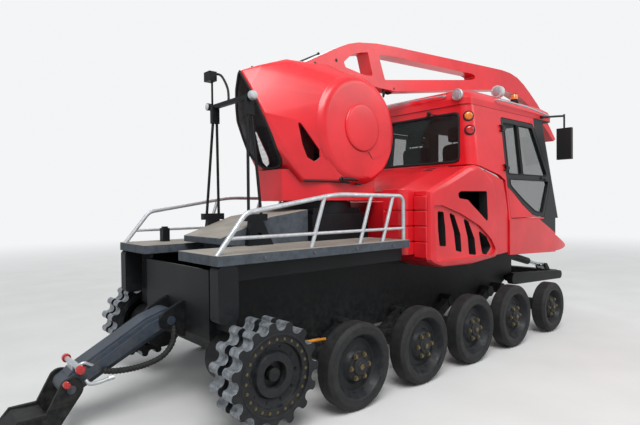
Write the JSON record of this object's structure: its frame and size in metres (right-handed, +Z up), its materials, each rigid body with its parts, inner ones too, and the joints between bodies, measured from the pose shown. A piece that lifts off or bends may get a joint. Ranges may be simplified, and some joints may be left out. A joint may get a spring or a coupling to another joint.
{
  "type": "winch snowcat groomer without tracks",
  "caption": "Winch snow groomer carrier parked on bare road wheels, with slewing winch boom, cab, load deck, front frame and rear implement arm.",
  "frame": {"origin": "centre of the bounding box on the floor", "axes": "+X forward, +Y to the left, +Z up"},
  "size_m": [8.43, 2.5, 3.648],
  "materials": {
    "red_paint": "glossy coral red paint on sheet metal and moulded covers",
    "black_paint": "worn satin black paint",
    "galvanised": "dusty galvanised sheet",
    "silver_tube": "satin silver tube",
    "arm_paint": "blue-grey paint",
    "cast_teeth": "worn cast teeth",
    "wheel_rubber": "rubber tyre on a blue-black disc",
    "glass": "green-tinted glass",
    "seat_fabric": "dark seat cloth",
    "engine": "engine castings",
    "lamp": "lamp housings",
    "rod_chrome": "hard chrome rod"
  },
  "bodies": {
    "chassis": {"chassis_tub": "black_paint", "wheel_arms": "black_paint", "final_drives": "black_paint", "engine_block": "engine", "load_deck": "galvanised", "rear_panels": "black_paint", "side_tanks": "black_paint", "rail_right": "silver_tube", "rail_left": "silver_tube", "cutout_cover": "galvanised", "winch_pedestal": "black_paint", "lamp_portal": "black_paint", "side_box_right": "red_paint", "side_box_left": "red_paint", "pod_right": "red_paint", "pod_left": "red_paint", "engine_cover": "red_paint", "nose_body": "red_paint", "cab_floor": "black_paint", "cab_shell": "red_paint", "cab_roof": "red_paint", "windscreen": "glass", "rear_window": "glass", "seats": "seat_fabric", "console": "black_paint", "roof_lamps": "lamp", "beacon": "black_paint", "mirrors": "black_paint"},
    "winch": {"winch_base": "red_paint", "winch_hood": "red_paint", "boom": "red_paint", "boom_sheaves": "black_paint"},
    "winch_drum": {"rope_drum": "galvanised"},
    "right_door": {"door_right": "black_paint", "door_panel_right": "red_paint", "door_glass_right": "glass"},
    "left_door": {"door_left": "black_paint", "door_panel_left": "red_paint", "door_glass_left": "glass"},
    "front_frame": {"blade_frame": "black_paint"},
    "front_barrels": {"lift_barrels": "black_paint"},
    "front_rods": {"lift_rods": "rod_chrome"},
    "implement_arm": {"rear_arm": "arm_paint"},
    "hook": {"rear_hook": "black_paint"},
    "right_sprocket": {"sprocket_right": "cast_teeth"},
    "right_idler": {"idler_right": "wheel_rubber"},
    "right_wheel_1": {"road_wheel_r1": "wheel_rubber"},
    "right_wheel_2": {"road_wheel_r2": "wheel_rubber"},
    "right_wheel_3": {"road_wheel_r3": "wheel_rubber"},
    "right_wheel_4": {"road_wheel_r4": "wheel_rubber"},
    "left_sprocket": {"sprocket_left": "cast_teeth"},
    "left_idler": {"idler_left": "wheel_rubber"},
    "left_wheel_1": {"road_wheel_l1": "wheel_rubber"},
    "left_wheel_2": {"road_wheel_l2": "wheel_rubber"},
    "left_wheel_3": {"road_wheel_l3": "wheel_rubber"},
    "left_wheel_4": {"road_wheel_l4": "wheel_rubber"}
  },
  "joints": [
    {"name": "right_sprocket_turn", "type": "hinge", "parent": "chassis", "child": "right_sprocket", "pos_m": [-2.815, -1.125, 0.466], "axis": [0, 1, 0], "continuous": true},
    {"name": "right_idler_turn", "type": "hinge", "parent": "chassis", "child": "right_idler", "pos_m": [1.45, -1.125, 0.312], "axis": [0, 1, 0], "continuous": true},
    {"name": "right_wheel_1_turn", "type": "hinge", "parent": "chassis", "child": "right_wheel_1", "pos_m": [-2, -1.125, 0.343], "axis": [0, 1, 0], "continuous": true},
    {"name": "right_wheel_2_turn", "type": "hinge", "parent": "chassis", "child": "right_wheel_2", "pos_m": [-1.167, -1.125, 0.343], "axis": [0, 1, 0], "continuous": true},
    {"name": "right_wheel_3_turn", "type": "hinge", "parent": "chassis", "child": "right_wheel_3", "pos_m": [-0.334, -1.125, 0.343], "axis": [0, 1, 0], "continuous": true},
    {"name": "right_wheel_4_turn", "type": "hinge", "parent": "chassis", "child": "right_wheel_4", "pos_m": [0.499, -1.125, 0.343], "axis": [0, 1, 0], "continuous": true},
    {"name": "left_sprocket_turn", "type": "hinge", "parent": "chassis", "child": "left_sprocket", "pos_m": [-2.815, 1.125, 0.466], "axis": [0, 1, 0], "continuous": true},
    {"name": "left_idler_turn", "type": "hinge", "parent": "chassis", "child": "left_idler", "pos_m": [1.45, 1.125, 0.312], "axis": [0, 1, 0], "continuous": true},
    {"name": "left_wheel_1_turn", "type": "hinge", "parent": "chassis", "child": "left_wheel_1", "pos_m": [-2, 1.125, 0.343], "axis": [0, 1, 0], "continuous": true},
    {"name": "left_wheel_2_turn", "type": "hinge", "parent": "chassis", "child": "left_wheel_2", "pos_m": [-1.167, 1.125, 0.343], "axis": [0, 1, 0], "continuous": true},
    {"name": "left_wheel_3_turn", "type": "hinge", "parent": "chassis", "child": "left_wheel_3", "pos_m": [-0.334, 1.125, 0.343], "axis": [0, 1, 0], "continuous": true},
    {"name": "left_wheel_4_turn", "type": "hinge", "parent": "chassis", "child": "left_wheel_4", "pos_m": [0.499, 1.125, 0.343], "axis": [0, 1, 0], "continuous": true},
    {"name": "winch_slew", "type": "hinge", "parent": "chassis", "child": "winch", "pos_m": [-1.395, 0, 1.655], "axis": [0, 0, 1], "continuous": true},
    {"name": "drum_turn", "type": "hinge", "parent": "winch", "child": "winch_drum", "pos_m": [-1.195, 0, 2.36], "axis": [0, 1, 0], "continuous": true},
    {"name": "right_door_swing", "type": "hinge", "parent": "chassis", "child": "right_door", "pos_m": [0.833, -0.92791, 2.27727], "axis": [0, -0.1045, -0.9945], "range_deg": [0, 75]},
    {"name": "left_door_swing", "type": "hinge", "parent": "chassis", "child": "left_door", "pos_m": [0.833, 0.92791, 2.27727], "axis": [0, -0.1045, 0.9945], "range_deg": [0, 75]},
    {"name": "front_lift", "type": "hinge", "parent": "chassis", "child": "front_frame", "pos_m": [1.485, 0, 0.6], "axis": [0, -1, 0], "range_deg": [-8, 13]},
    {"name": "barrel_tilt", "type": "hinge", "parent": "chassis", "child": "front_barrels", "pos_m": [1.735, 0, 0.88], "axis": [0, -1, 0], "range_deg": [-12, 20]},
    {"name": "rod_slide", "type": "slide", "parent": "front_barrels", "child": "front_rods", "axis": [0.975, 0, -0.222], "range_m": [-0.15, 0.1]},
    {"name": "rear_lift", "type": "hinge", "parent": "chassis", "child": "implement_arm", "pos_m": [-3.075, 0, 0.7], "axis": [0, 1, 0], "range_deg": [0, 35]},
    {"name": "hook_tilt", "type": "hinge", "parent": "implement_arm", "child": "hook", "pos_m": [-3.815, 0, 0.33], "axis": [0, 1, 0], "range_deg": [0, 30]}
  ],
  "couplings": [
    {"joint": "barrel_tilt", "follows": "front_lift", "ratio": 1.2},
    {"joint": "rod_slide", "follows": "front_lift", "m_per_rad": -0.312}
  ]
}
